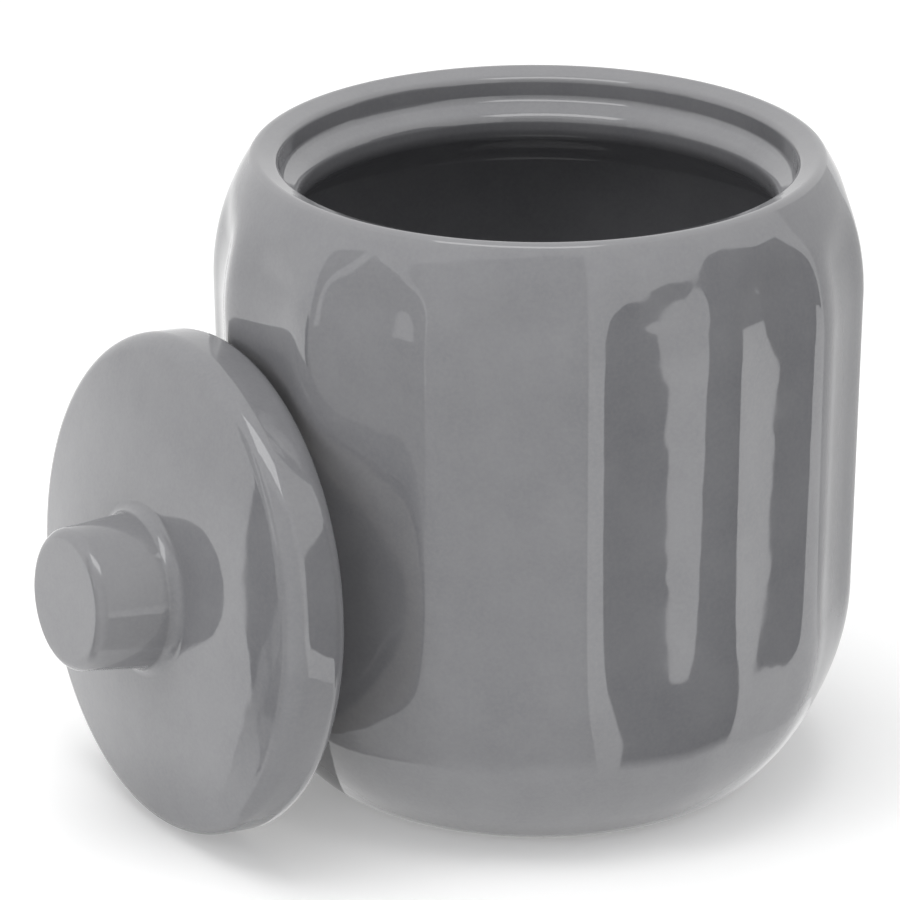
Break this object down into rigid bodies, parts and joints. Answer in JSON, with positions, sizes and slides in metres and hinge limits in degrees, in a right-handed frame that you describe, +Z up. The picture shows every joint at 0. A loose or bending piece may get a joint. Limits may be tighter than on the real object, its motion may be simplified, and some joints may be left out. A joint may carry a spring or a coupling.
{
  "type": "cotton pad holder",
  "caption": "Round glazed ceramic jar with soft upright lobes and a recessed mouth, and its round lid with a knob, standing beside it.",
  "frame": {"origin": "centre of the jar's foot, on the surface it stands on", "axes": "+Z up along the jar's axis, -Y to the front as the picture shows it, +X to the right"},
  "size_m": [0.1327, 0.113, 0.106],
  "materials": {
    "grey_glaze": "gloss"
  },
  "bodies": {
    "jar": {"jar": "grey_glaze"},
    "lid": {"lid": "grey_glaze", "knob": "grey_glaze"}
  },
  "joints": [
    {"name": "lid_lift", "type": "slide", "parent": "jar", "child": "lid", "axis": [0, 0, 1], "range_m": [0, 0.12]}
  ]
}
